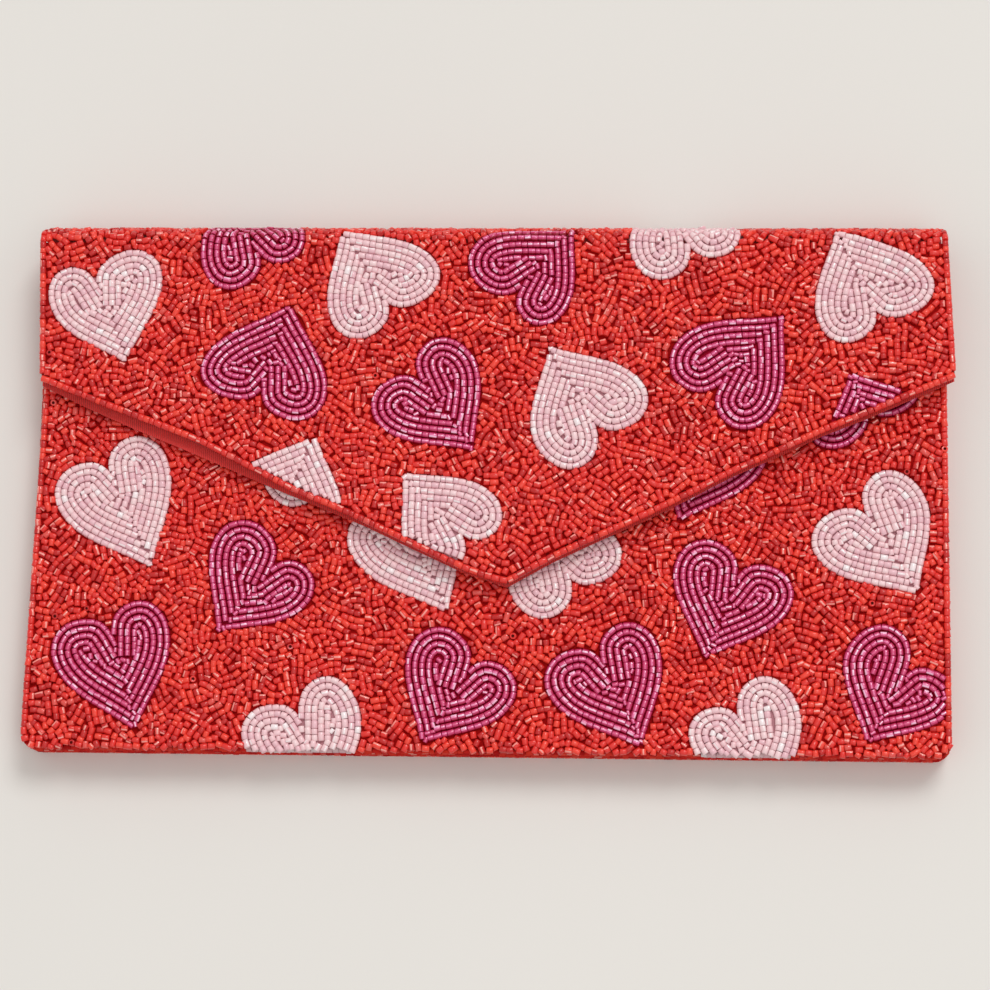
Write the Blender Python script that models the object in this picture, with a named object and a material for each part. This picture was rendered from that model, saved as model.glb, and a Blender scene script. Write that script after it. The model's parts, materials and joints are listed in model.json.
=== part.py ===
"""Beaded envelope clutch, lying on its back with the flap closed.

X runs along the purse, Y from the bottom edge to the fold, Z up through the layers.
The origin is under the middle of the whole object, on the surface that it rests on.
"""
import bpy
import bmesh
from math import cos, pi, radians, sin, tan

# Driving dimensions, in metres.
WIDTH = 0.2790              # body, side to side
HEIGHT = 0.1630             # bottom edge to the outside of the fold
BODY_X = -0.0010            # middle of the body; the flap hangs over it on the right
GAP = 0.0003                # clearance between pieces that touch
BEADS = 0.0019              # layer of tube beads
CLOTH = 0.0003              # ground cloth that the beads are sewn to
BOARD = 0.0008              # stiffening board
LINING = 0.0004
POCKET_DEPTH = 0.0053       # between the front's and the back's linings
SNAP_ROOM = 0.0018          # between the front's beads and the flap's lining
CORNER = 0.004              # plan radius of the bottom corners
EDGE = 0.0008               # rounding along the edges
DRAW_LEFT = 0.0030          # how far the front panel is drawn in at the mouth
DRAW_RIGHT = 0.0005
SEAM = 0.0004               # thickness of the whipped side seam
HINGE_STEP = radians(60)    # turn at each of the fold's three creases
STRIPS = 2                  # strips of the fold between the creases

FLAP_LEFT = (-0.1386, 0.0308)
FLAP_RIGHT = (0.1405, 0.0328)
FLAP_TIP = (0.0060, -0.0316)
EDGE_SLOPE = radians(25)    # of the flap's slanted edges
# How far each slanted edge stands in from a straight line, by its share of the way from the tip.
WAVE_LEFT = ((0.0, 0.0), (0.07, -0.0013), (0.15, -0.0012), (0.25, -0.0004), (0.35, 0.0001),
             (0.45, -0.0003), (0.55, 0.0010), (0.65, 0.0022), (0.75, 0.0016), (0.86, 0.0006), (1.0, 0.0))
WAVE_RIGHT = ((0.0, 0.0), (0.05, 0.0009), (0.12, 0.0014), (0.3, 0.0011), (0.4, 0.0014),
              (0.5, 0.0022), (0.6, 0.0019), (0.7, 0.0020), (0.8, 0.0010), (0.9, 0.0006), (1.0, 0.0))
EDGING = 0.0021             # the row of beads along the flap's slanted edges
# How far the flap's lining shows past the beads, by the same share.
SHOW_LEFT = ((0.0, 0.0002), (0.35, 0.0004), (0.45, 0.0009), (0.55, 0.0022), (0.65, 0.0034),
             (0.78, 0.0030), (0.9, 0.0020), (1.0, 0.0010))
SHOW_RIGHT = ((0.0, 0.0002), (1.0, 0.0004))
FLAP_INSET = 0.0004         # lining and cloth, from the flap's side edges
BOARD_INSET = 0.0020        # the flap's board, from its edges

POCKET_HALF = 0.085         # slip pocket, half its width
POCKET_RISE = 0.012         # from the bottom edge
POCKET_TOP = 0.030
HEM = 0.008
TAPE = 0.0003               # mouth binding
TAPE_TURN = 0.006           # how far the binding turns down inside the mouth

SNAP_X = 0.0060
SNAP_Y = -0.0110
SNAP_RADIUS = 0.0070
SNAP_METAL = 0.0005
SOCKET_HEIGHT = 0.0026
SOCKET_MOUTH = 0.0027       # radius of the hole that takes the stud's post
STUD_RADIUS = 0.0065
POST_RADIUS = 0.0023
POST_LENGTH = 0.0017
PLATE = 0.0004
MAGNET_BORE = 0.0030
WASHER = 0.0003
WASHER_RADIUS = 0.0062
WASHER_BORE = 0.0020
PRONG_X = 0.0036            # prongs, either side of the snap's middle
PRONG_HALF = 0.0012         # half their width
PRONG = 0.0004              # their thickness where they pass through
FOOT = 0.0002               # their thickness where they are turned out
FOOT_REACH = 0.0019

# Layers, from the outer face inwards.
CLOTH_AT = BEADS + GAP
BOARD_AT = CLOTH_AT + CLOTH + GAP
LINING_AT = BOARD_AT + BOARD + GAP
PANEL = LINING_AT + LINING
FRONT_TOP = PANEL + POCKET_DEPTH + PANEL
TOTAL = FRONT_TOP + SNAP_ROOM + PANEL
SEAM_Z = FRONT_TOP / 2
BACK_RIM = SEAM_Z - SEAM / 2 - GAP
FRONT_RIM = SEAM_Z + SEAM / 2 + GAP

LEFT = BODY_X - WIDTH / 2
RIGHT = BODY_X + WIDTH / 2
BOTTOM = -HEIGHT / 2
MOUTH = 0.0715              # top edge of the front panel

# The cloth doesn't stretch, so the creases lie in the middle of its thickness.
NEUTRAL = CLOTH_AT + CLOTH / 2
STRIP = (TOTAL - 2 * NEUTRAL) / (2 * sin(HINGE_STEP))
FOLD_REACH = STRIP * cos(HINGE_STEP) + NEUTRAL * cos(HINGE_STEP / 2)
FOLD_Y = HEIGHT / 2 - FOLD_REACH

RED_BEADS = ("red_beads", (0.62, 0.02, 0.012), 0.30, 0.0)
RED_CLOTH = ("red_cloth", (0.30, 0.01, 0.008), 0.80, 0.0)
RED_LINING = ("red_lining", (0.36, 0.01, 0.008), 0.60, 0.0)
BUCKRAM = ("buckram", (0.62, 0.58, 0.50), 0.90, 0.0)
RED_THREAD = ("red_thread", (0.45, 0.015, 0.01), 0.70, 0.0)
BRASS = ("snap_brass", (0.72, 0.55, 0.28), 0.30, 1.0)
MAGNET = ("magnet", (0.10, 0.10, 0.11), 0.45, 1.0)


def clear_scene():
    for obj in list(bpy.data.objects):
        bpy.data.objects.remove(obj, do_unlink=True)


def material(spec):
    name, colour, roughness, metallic = spec
    found = bpy.data.materials.get(name)
    if found:
        return found
    made = bpy.data.materials.new(name)
    made.use_nodes = True
    shader = made.node_tree.nodes["Principled BSDF"]
    shader.inputs["Base Color"].default_value = (*colour, 1.0)
    shader.inputs["Roughness"].default_value = roughness
    shader.inputs["Metallic"].default_value = metallic
    return made


def new_object(name, bm, spec=None):
    bmesh.ops.recalc_face_normals(bm, faces=bm.faces)
    mesh = bpy.data.meshes.new(name)
    bm.to_mesh(mesh)
    bm.free()
    obj = bpy.data.objects.new(name, mesh)
    bpy.context.scene.collection.objects.link(obj)
    if spec:
        mesh.materials.append(material(spec))
    return obj


def crease(name, location, parent=None):
    """A joint's frame: its X axis is the crease, and Y runs along the next strip."""
    made = bpy.data.objects.new(name, None)
    bpy.context.scene.collection.objects.link(made)
    made.location = location
    made.rotation_euler = (HINGE_STEP, 0.0, 0.0)
    made.parent = parent
    return made


def add_extrusion(bm, section, travel):
    """Add the solid that a closed section sweeps along a vector."""
    face = bm.faces.new([bm.verts.new(point) for point in section])
    grown = bmesh.ops.extrude_face_region(bm, geom=[face])
    end = [item for item in grown["geom"] if isinstance(item, bmesh.types.BMVert)]
    bmesh.ops.translate(bm, verts=end, vec=travel)


def prism(name, outline, low, high, spec=None):
    """A plan outline with a thickness."""
    bm = bmesh.new()
    add_extrusion(bm, [(x, y, low) for x, y in outline], (0.0, 0.0, high - low))
    return new_object(name, bm, spec)


def cutter(obj):
    obj.hide_render = True
    obj.display_type = "WIRE"
    return obj


def boolean(obj, other, operation):
    modifier = obj.modifiers.new(operation.lower(), "BOOLEAN")
    modifier.operation = operation
    modifier.object = other


def rounded(obj, width):
    bevel = obj.modifiers.new("rounding", "BEVEL")
    bevel.width = width
    bevel.segments = 2
    bevel.limit_method = "ANGLE"
    bevel.angle_limit = radians(60)


def rectangle(x0, x1, y0, y1):
    return [(x0, y0), (x1, y0), (x1, y1), (x0, y1)]


def disc(radius, sides=24):
    """A circle in plan round the snap's axis."""
    turns = [2 * pi * i / sides for i in range(sides)]
    return [(SNAP_X + radius * cos(turn), SNAP_Y + radius * sin(turn)) for turn in turns]


def body_outline(inset, top, drawn=0.0):
    """The body in plan, with round bottom corners, counter-clockwise from the top right."""
    radius = CORNER - inset
    left, right, bottom = LEFT + inset, RIGHT - inset, BOTTOM + inset
    points = [(right - drawn * DRAW_RIGHT, top), (left + drawn * DRAW_LEFT, top)]
    for centre_x, start in ((left + radius, pi), (right - radius, 1.5 * pi)):
        for step in range(4):
            angle = start + step * pi / 6
            points.append((centre_x + radius * cos(angle), bottom + radius + radius * sin(angle)))
    return points


def tray(name, face, inner, rim, inset, wall, top, drawn, spec):
    """A panel with a rim on three sides: the heights of its face, of its inside and of its rim."""
    made = prism(name, body_outline(inset, top, drawn), min(face, rim), max(face, rim), spec)
    if wall > EDGE:
        rounded(made, EDGE)
    beyond = rim + (rim - face)
    beyond_top = top + PANEL
    drawn_beyond = drawn * (beyond_top - BOTTOM) / (top - BOTTOM)
    hollow = prism(name + "_hollow", body_outline(inset + wall, beyond_top, drawn_beyond),
                   min(inner, beyond), max(inner, beyond))
    boolean(made, cutter(hollow), "DIFFERENCE")
    return made


def panel_layers(side, face, inward, rim, tops, drawn):
    """Beads, cloth, board and lining of the back (inward = 1) or the front (inward = -1)."""
    def depth(at):
        return face + inward * at

    beads_top, board_top, lining_top = tops
    beads = tray(side + "_beads", depth(0), depth(BEADS), rim, 0.0, BEADS, beads_top, drawn, RED_BEADS)
    cloth = tray(side + "_cloth", depth(CLOTH_AT), depth(CLOTH_AT + CLOTH), rim, CLOTH_AT, CLOTH,
                 beads_top, drawn, RED_CLOTH)
    low, high = sorted((depth(BOARD_AT), depth(BOARD_AT + BOARD)))
    board = prism(side + "_stiffener", body_outline(BOARD_AT + GAP, board_top, drawn), low, high, BUCKRAM)
    tray(side + "_lining", depth(LINING_AT), depth(PANEL), rim, BOARD_AT, LINING,
         lining_top, drawn, RED_LINING)
    return beads, cloth, board


def make_back():
    """The back panel runs into the fold, so its layers stop at the first crease."""
    inner_top = FOLD_Y - NEUTRAL
    panel_layers("back", 0.0, 1, BACK_RIM, (FOLD_Y - GAP / 2, inner_top, inner_top), 0.0)


def make_slip_pocket():
    """A flat pocket on the back lining, open along its hemmed top edge."""
    low = PANEL + GAP
    left, right = BODY_X - POCKET_HALF, BODY_X + POCKET_HALF
    prism("slip_pocket", rectangle(left, right, BOTTOM + POCKET_RISE, POCKET_TOP),
          low, low + LINING, RED_LINING)
    prism("slip_pocket_hem", rectangle(left, right, POCKET_TOP + GAP, POCKET_TOP + GAP + HEM),
          low, low + LINING, RED_LINING)


def make_front():
    """The front panel, with a bare round in its beads where the snap's socket sits."""
    tops = (MOUTH, MOUTH, MOUTH - TAPE_TURN - GAP)
    beads, cloth, board = panel_layers("front", FRONT_TOP, -1, FRONT_RIM, tops, 1.0)
    seat = prism("socket_seat", disc(SNAP_RADIUS + 2 * GAP), FRONT_TOP - CLOTH_AT, FRONT_TOP + BEADS)
    boolean(beads, cutter(seat), "DIFFERENCE")
    cloth_low = FRONT_TOP - CLOTH_AT - CLOTH
    boolean(cloth, prong_slots("front_cloth_slots", cloth_low - GAP, cloth_low + CLOTH + GAP),
            "DIFFERENCE")
    board_low = FRONT_TOP - BOARD_AT - BOARD
    boolean(board, washer_hole("front_washer_hole", board_low - GAP, board_low + BOARD + GAP),
            "DIFFERENCE")


def make_mouth_binding():
    """Tape over the front panel's top edge, turned down inside the mouth to meet the lining."""
    near, far = MOUTH + GAP, MOUTH + GAP + TAPE
    inner = FRONT_TOP - LINING_AT
    profile = [(near, FRONT_TOP), (far, FRONT_TOP), (far, inner - TAPE),
               (MOUTH - TAPE_TURN, inner - TAPE), (MOUTH - TAPE_TURN, inner), (near, inner)]
    margin = BOARD_AT + LINING + GAP
    start = LEFT + margin + DRAW_LEFT
    bm = bmesh.new()
    add_extrusion(bm, [(start, y, z) for y, z in profile], (RIGHT - margin - DRAW_RIGHT - start, 0.0, 0.0))
    new_object("mouth_binding", bm, RED_LINING)


def make_seam():
    """Whipped thread that closes the two rims along the left, bottom and right."""
    outer = body_outline(EDGE, MOUTH, 0.5)
    inner = body_outline(BEADS, MOUTH, 0.5)
    arch = outer[1:] + outer[:1] + inner[:1] + inner[:0:-1]
    prism("side_seam", arch, SEAM_Z - SEAM / 2, SEAM_Z + SEAM / 2, RED_THREAD)


def make_fold():
    """The two strips of the fold, each hinged on the one before; returns the last crease."""
    hinge = crease("fold_crease_1", (0.0, FOLD_Y, NEUTRAL))
    lining_trim = GAP / 2 + (PANEL - NEUTRAL) * tan(HINGE_STEP / 2)
    cloth_trim = GAP / 2 + CLOTH
    layers = (
        ("beads", 0.0, BEADS, GAP / 2, 0.0, RED_BEADS),
        ("cloth", CLOTH_AT, CLOTH, cloth_trim, CLOTH_AT, RED_CLOTH),
        ("lining", LINING_AT, LINING, lining_trim, BOARD_AT, RED_LINING),
    )
    for number in range(1, STRIPS + 1):
        for layer, at, thickness, trim, inset, spec in layers:
            low = at - NEUTRAL
            strip = prism(f"fold_{layer}_{number}",
                          rectangle(LEFT + inset, RIGHT - inset, trim, STRIP - trim),
                          low, low + thickness, spec)
            strip.parent = hinge
        hinge = crease(f"fold_crease_{number + 1}", (0.0, STRIP, 0.0), hinge)
    return hinge


def between(table, share):
    """The value of a table of (share, value) at a share."""
    for (low, first), (high, last) in zip(table, table[1:]):
        if share <= high:
            return first + (last - first) * (share - low) / (high - low)
    return table[-1][1]


def slanted_edge(corner, wave, show, share, rise):
    """A point on one of the flap's slanted edges, from the tip (0) to its corner (1)."""
    x = FLAP_TIP[0] + share * (corner[0] - FLAP_TIP[0])
    y = FLAP_TIP[1] + share * (corner[1] - FLAP_TIP[1])
    return x, y + between(wave, share) - between(show, share) + rise


NO_SHOW = ((0.0, 0.0), (1.0, 0.0))


def slanted_edges(rise, side_inset=0.0, show_left=NO_SHOW, show_right=NO_SHOW, steps=10):
    """The flap's lower outline, from the left corner over the tip to the right corner."""
    shares = [i / steps for i in range(1, steps + 1)]
    left = [slanted_edge(FLAP_LEFT, WAVE_LEFT, show_left, share, rise) for share in reversed(shares)]
    right = [slanted_edge(FLAP_RIGHT, WAVE_RIGHT, show_right, share, rise) for share in shares]
    left[0] = (left[0][0] + side_inset, left[0][1])
    right[-1] = (right[-1][0] - side_inset, right[-1][1])
    tip = slanted_edge(FLAP_LEFT, WAVE_LEFT, show_left, 0.0, rise)
    return left + [tip] + right


def flap_layer(name, at, thickness, edges, top, side_inset, spec):
    outline = [(RIGHT - side_inset, top), (LEFT + side_inset, top)] + edges
    return prism(name, outline, TOTAL - at - thickness, TOTAL - at, spec)


def make_flap():
    """The flap's layers and its half of the snap, built where they lie when it is closed."""
    top = FOLD_Y - GAP / 2
    board_top = FOLD_Y - NEUTRAL
    row_rise = EDGING / cos(EDGE_SLOPE)
    field = slanted_edges(row_rise + GAP)
    beads = flap_layer("flap_beads", 0.0, BEADS, field, top, 0.0, RED_BEADS)
    row = slanted_edges(0.0) + slanted_edges(row_rise)[::-1]
    edging = prism("flap_edging", row, TOTAL - BEADS, TOTAL, RED_BEADS)
    cloth = flap_layer("flap_cloth", CLOTH_AT, CLOTH,
                       slanted_edges(FLAP_INSET, FLAP_INSET),
                       top - CLOTH, FLAP_INSET, RED_CLOTH)
    board = flap_layer("flap_stiffener", BOARD_AT, BOARD,
                       slanted_edges(BOARD_INSET, BOARD_INSET),
                       board_top, BOARD_INSET, BUCKRAM)
    lining = flap_layer("flap_lining", LINING_AT, LINING,
                        slanted_edges(0.0, FLAP_INSET, SHOW_LEFT, SHOW_RIGHT),
                        board_top, FLAP_INSET, RED_LINING)
    lining_low = TOTAL - PANEL
    boolean(lining, prong_slots("flap_lining_slots", lining_low - GAP, lining_low + LINING + GAP),
            "DIFFERENCE")
    board_low = TOTAL - BOARD_AT - BOARD
    boolean(board, washer_hole("flap_washer_hole", board_low - GAP, board_low + BOARD + GAP),
            "DIFFERENCE")
    return [beads, edging, cloth, board, lining] + make_stud(lining_low)


def prong_slots(name, low, high):
    """A cutter for the two slots that a snap's prongs pass through."""
    half = PRONG / 2 + GAP
    bm = bmesh.new()
    for side in (-1, 1):
        x = SNAP_X + side * PRONG_X
        y_reach = PRONG_HALF + GAP
        section = rectangle(x - half, x + half, SNAP_Y - y_reach, SNAP_Y + y_reach)
        add_extrusion(bm, [(px, py, low) for px, py in section], (0.0, 0.0, high - low))
    return cutter(new_object(name, bm))


def washer_hole(name, low, high):
    return cutter(prism(name, disc(WASHER_RADIUS + GAP), low, high))


def prongs(name, root, end):
    """Two flat legs from root to end, where they are turned outwards, to join to a plate."""
    direction = 1 if end > root else -1
    foot_near = end - direction * FOOT
    bm = bmesh.new()
    for side in (-1, 1):
        x = SNAP_X + side * PRONG_X
        inner, outer, toe = x - side * PRONG / 2, x + side * PRONG / 2, x + side * FOOT_REACH
        profile = [(inner, root), (outer, root), (outer, foot_near), (toe, foot_near),
                   (toe, end), (inner, end)]
        section = [(px, SNAP_Y - PRONG_HALF, pz) for px, pz in profile]
        add_extrusion(bm, section, (0.0, 2 * PRONG_HALF, 0.0))
    return cutter(new_object(name, bm))


def snap_washer(name, low):
    washer = prism(name, disc(WASHER_RADIUS), low, low + WASHER, BRASS)
    boolean(washer, cutter(prism(name + "_bore", disc(WASHER_BORE, 16), low - GAP, low + 2 * GAP)),
            "DIFFERENCE")
    boolean(washer, prong_slots(name + "_slots", low - GAP, low + 2 * GAP), "DIFFERENCE")
    return washer


def make_socket():
    """Lower half of the magnetic snap: cupped shell, ring magnet, base with prongs, washer."""
    floor = FRONT_TOP - CLOTH_AT + GAP
    roof = floor + SOCKET_HEIGHT
    room = SNAP_RADIUS - SNAP_METAL
    shell = prism("snap_socket_shell", disc(SNAP_RADIUS), floor, roof, BRASS)
    boolean(shell, cutter(prism("socket_cup", disc(room), floor - GAP, roof - SNAP_METAL)),
            "DIFFERENCE")
    boolean(shell, cutter(prism("socket_mouth", disc(SOCKET_MOUTH, 16), floor, roof + GAP)),
            "DIFFERENCE")
    base = prism("snap_socket_base", disc(room - GAP), floor, floor + PLATE, BRASS)
    magnet_low, magnet_high = floor + PLATE + GAP, roof - SNAP_METAL - GAP
    magnet = prism("snap_magnet", disc(room - GAP), magnet_low, magnet_high, MAGNET)
    boolean(magnet, cutter(prism("magnet_bore", disc(MAGNET_BORE, 16), floor, roof)), "DIFFERENCE")
    washer_low = FRONT_TOP - CLOTH_AT - CLOTH - GAP - WASHER
    boolean(base, prongs("socket_prongs", floor + PLATE / 2, washer_low - GAP - FOOT), "UNION")
    snap_washer("snap_socket_washer", washer_low)


def make_stud(lining_low):
    """Upper half of the snap: disc with its post and prongs, and the washer above the lining."""
    top = lining_low - GAP
    stud = prism("snap_stud", disc(STUD_RADIUS), top - PLATE, top, BRASS)
    post = prism("stud_post", disc(POST_RADIUS, 16), top - PLATE - POST_LENGTH, top - PLATE / 2)
    boolean(stud, cutter(post), "UNION")
    washer_low = lining_low + LINING + GAP
    legs = prongs("stud_prongs", top - PLATE / 2, washer_low + WASHER + GAP + FOOT)
    boolean(stud, legs, "UNION")
    return [stud, snap_washer("snap_stud_washer", washer_low)]


def adopt(hinge, pieces):
    """Hang the flap's pieces, and the cutters that shape them, from the last crease."""
    bpy.context.view_layer.update()
    shapes = {modifier.object for obj in pieces for modifier in obj.modifiers}
    for obj in [*pieces, *sorted(shapes, key=lambda shape: shape.name)]:
        obj.parent = hinge
        obj.matrix_parent_inverse = hinge.matrix_world.inverted()


def main():
    clear_scene()
    make_back()
    make_slip_pocket()
    make_front()
    make_mouth_binding()
    make_seam()
    make_socket()
    flap = make_flap()
    adopt(make_fold(), flap)


main()
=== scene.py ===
"""Beaded envelope clutch: the looks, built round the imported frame.

Thousands of separate tube beads are strung and sewn over each panel, with the lining, thread and snap
that show between and behind them. Lengths here are in millimetres until a mesh is made.
"""
import json

import bmesh
import bpy
import numpy as np
from math import atan2, cos, hypot, pi, radians, sin
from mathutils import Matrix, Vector


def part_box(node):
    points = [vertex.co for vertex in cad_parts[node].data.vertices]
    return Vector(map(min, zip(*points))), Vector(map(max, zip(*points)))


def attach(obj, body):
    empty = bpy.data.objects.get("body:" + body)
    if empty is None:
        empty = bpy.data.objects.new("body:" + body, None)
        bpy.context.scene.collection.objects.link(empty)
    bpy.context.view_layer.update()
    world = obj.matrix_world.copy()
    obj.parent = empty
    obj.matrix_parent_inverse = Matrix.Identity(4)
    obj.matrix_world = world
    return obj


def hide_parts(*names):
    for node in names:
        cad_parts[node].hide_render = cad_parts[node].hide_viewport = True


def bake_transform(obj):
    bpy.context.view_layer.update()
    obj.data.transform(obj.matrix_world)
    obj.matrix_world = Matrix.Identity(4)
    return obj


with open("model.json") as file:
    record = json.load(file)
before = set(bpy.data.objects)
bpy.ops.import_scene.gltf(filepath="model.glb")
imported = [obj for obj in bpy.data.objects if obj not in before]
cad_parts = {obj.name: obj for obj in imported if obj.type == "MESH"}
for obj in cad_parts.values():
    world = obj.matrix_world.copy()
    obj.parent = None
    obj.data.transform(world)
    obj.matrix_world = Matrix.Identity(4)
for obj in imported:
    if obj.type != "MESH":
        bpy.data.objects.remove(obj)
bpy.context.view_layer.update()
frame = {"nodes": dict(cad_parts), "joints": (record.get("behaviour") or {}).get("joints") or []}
MM = 0.001
rng = np.random.default_rng(20)


# ---- sizes from the frame

def mm_box(node):
    low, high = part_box(node)
    return np.array(low) / MM, np.array(high) / MM


back_low, back_high = mm_box("back_beads")
flap_low, flap_high = mm_box("flap_beads")
lining_low, lining_high = mm_box("flap_lining")
LEFT, RIGHT, BOTTOM = back_low[0], back_high[0], back_low[1]
MOUTH, FRONT_TOP = mm_box("front_beads")[1][1:]
TOTAL = flap_high[2]
BEADS = TOTAL - flap_low[2]                     # thickness of a layer of beads
PANEL = TOTAL - lining_low[2]                   # thickness of the flap
CREASES = [np.array(joint["pos_m"]) / MM for joint in frame["joints"]]
FOLD_Y = CREASES[0][1]
FOLD_REACH = mm_box("fold_beads_1")[1][1] - FOLD_Y

CORNER = 4.0                # plan radius of the bottom corners
DRAW_LEFT = 3.0             # how far the front is drawn in at the mouth
DRAW_RIGHT = 0.5
FLAP_LEFT = (-138.6, 30.8)
FLAP_RIGHT = (140.5, 32.8)
FLAP_TIP = (6.0, -31.6)
# How far each slanted edge stands in from a straight line, by its share of the way from the tip.
WAVE_LEFT = ((0, 0), (0.07, -1.3), (0.15, -1.2), (0.25, -0.4), (0.35, 0.1), (0.45, -0.3),
             (0.55, 1.0), (0.65, 2.2), (0.75, 1.6), (0.86, 0.6), (1, 0))
WAVE_RIGHT = ((0, 0), (0.05, 0.9), (0.12, 1.4), (0.3, 1.1), (0.4, 1.4), (0.5, 2.2), (0.6, 1.9),
              (0.7, 2.0), (0.8, 1.0), (0.9, 0.6), (1, 0))
SNAP = (6.0, -11.0)
SNAP_RADIUS = 7.0

# ---- beads

ROW = 2.05                  # from one row of beads to the next
LONG = 2.1                  # from one bead to the next in a row
WIDE = 1.95                 # across a bead
GAP = 0.08                  # between the ends of beads in a row
OVERLAP = 0.4               # the most that a bead of an edge row may lie on others, as a share of it
HEART_OVERLAP = 0.36        # the same for the hearts' rows
GROUND_OVERLAP = 0.13       # and for the ground's
CELL = 0.25                 # of the grid that keeps beads off each other
PATCH = 5.2                 # across a patch of beads that lie alike
BACK_PATCH = 7.0
PATCH_BEND = (8, 50)        # radii that the rows of a patch are bent to
LONG_BEADS = 0.1            # share of the ground's beads that are longer than the others
SHORTEST = 0.9              # bead that is sewn on
STACKED = 0.9 * 1.2         # how far a bead rises that lies wholly on others
STANDING = 0.004            # share of the ground's beads that stand on end
ASKEW, TIPPED = radians(4.5), radians(5.5)      # how far beads lie off their rows and off the cloth
# Beads for the holes that are left, the longest first: the share that may be covered, length and width.
HEART_BEADS = ((0.14, 1.9, 1.8), (0.24, 1.7, 1.6), (0.3, 1.5, 1.4))
HOLE_BEADS = ((0.06, 2.15, 1.95), (0.14, 2.0, 1.9), (0.22, 1.9, 1.8), (0.28, 1.7, 1.65))

RED, PINK, MAGENTA = 0, 1, 2
# Hearts: colour, notch, tip, half width and rise of each lobe, on a panel laid flat.
FLAP_HEARTS = (
    (PINK, (-122.5, 62.2), (-112.2, 36.3), (15.9, 20.4), (7.5, 6)),
    (MAGENTA, (-71.5, 70.3), (-85.7, 95.2), (15.9, 17.9)),
    (PINK, (-31.8, 55.5), (-47.1, 79.4), (19.4, 17.9), (5, 6)),
    (MAGENTA, (-70.1, 27.4), (-61.6, 55.4), (20, 20.5), (6, 5)),
    (MAGENTA, (-21.8, 31.5), (-4.5, 9.2), (18.4, 17.8), (6, 8)),
    (MAGENTA, (8.1, 59.6), (25.1, 79.7), (15.5, 20.1), (6, 7)),
    (PINK, (60.4, 73.3), (50.4, 99.8), (17, 18), (6, 7)),
    (PINK, (116.6, 53.3), (104.6, 79.9), (20.1, 17.6), (5, 6)),
    (MAGENTA, (69, 29.6), (89.2, 52.2), (18.1, 19), (7, 7.5)),
    (PINK, (31.9, 18), (17.5, 42.4), (19, 19), (6, 9.5)),
    (PINK, (-63.3, -11.6), (-52.8, 14.4), (19, 18)),
    (PINK, (-7.5, -16.7), (-26.4, 2.9), (15.5, 17)),
    (MAGENTA, (119, 10.5), (108.4, 34.7), (19.1, 17.1)),
)
FRONT_HEARTS = (
    (PINK, (-117.1, 4), (-102.4, -26.5), (18.9, 17.9), (6, 7)),
    (MAGENTA, (-65.2, -25), (-82.1, -46), (20, 16), (7, 6)),
    (MAGENTA, (-114.3, -45.5), (-105.5, -76.5), (19.5, 17.6), (6, 7)),
    (PINK, (-27.3, -9.5), (-11.9, -39.6), (18.5, 18)),
    (PINK, (-56.4, -70.6), (-49.5, -101.8), (18.1, 18.6), (5, 10)),
    (MAGENTA, (-5, -55.7), (-19.5, -79.2), (19.1, 17.1), (7, 6)),
    (PINK, (25, -28.6), (11.6, -2.5), (18, 18.5), (5, 8)),
    (MAGENTA, (75.2, -26.6), (65.1, -52.8), (19.1, 18.6), (7, 6)),
    (PINK, (113.4, -8), (129, -32.7), (19.7, 18.2), (6, 9)),
    (MAGENTA, (125.5, -55.9), (112.9, -77.6), (19.2, 17.1), (10, 5)),
    (PINK, (75.1, -69.4), (85.7, -98.2), (16.2, 18.2), (5, 9)),
    (MAGENTA, (34, -52.2), (47, -79.9), (19.1, 17.6), (6, 7)),
    (MAGENTA, (68.9, 16.8), (57.1, -11.3), (18.1, 17.4)),
    (MAGENTA, (114.2, 23.7), (99.6, 46.8), (19.5, 19.5)),
    (PINK, (-52, 5.1), (-70.1, 26.1), (16.5, 17)),
    (PINK, (-111.4, 60.3), (-103.6, 33.4), (16.9, 17.9)),
    (MAGENTA, (-56.8, 66.4), (-62.9, 40.5), (17, 18)),
    (PINK, (-18.2, 60.5), (-12.3, 32.6), (18, 17)),
    (MAGENTA, (23.7, 58.7), (11.7, 32.6), (17, 18)),
    (PINK, (62.7, 66.8), (64.7, 38.7), (18.1, 18.1)),
)
BACK_HEARTS = (
    (MAGENTA, (-114, 44), (-106, 17), (18, 18)),
    (PINK, (-112, -22), (-118, -50), (17, 18)),
    (PINK, (-62, 14), (-70, -13), (18, 17)),
    (MAGENTA, (-58, -52), (-48, -77), (18, 18)),
    (MAGENTA, (-16, 46), (-10, 18), (18, 18)),
    (PINK, (-6, -22), (-16, -48), (17, 18)),
    (MAGENTA, (38, -2), (48, -28), (18, 18)),
    (PINK, (44, 58), (34, 33), (18, 17)),
    (PINK, (66, -54), (62, -79), (17, 17)),
    (MAGENTA, (98, 26), (90, -1), (18, 18)),
    (MAGENTA, (112, -40), (122, -65), (17, 18)),
    (PINK, (108, 66), (114, 42), (15, 15), (5, 5)),
)
ROWS_OF_HEARTS = {PINK: 1.98, MAGENTA: 2.1}     # from row to row
APART = {PINK: GAP, MAGENTA: 0.06}


def bezier(a, b, c, d, steps):
    """Points along a cubic from a towards d, without d itself."""
    t = np.arange(steps)[:, None] / steps
    a, b, c, d = (np.array(p, float) for p in (a, b, c, d))
    return (1 - t) ** 3 * a + 3 * t * (1 - t) ** 2 * b + 3 * t * t * (1 - t) * c + t ** 3 * d


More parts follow.
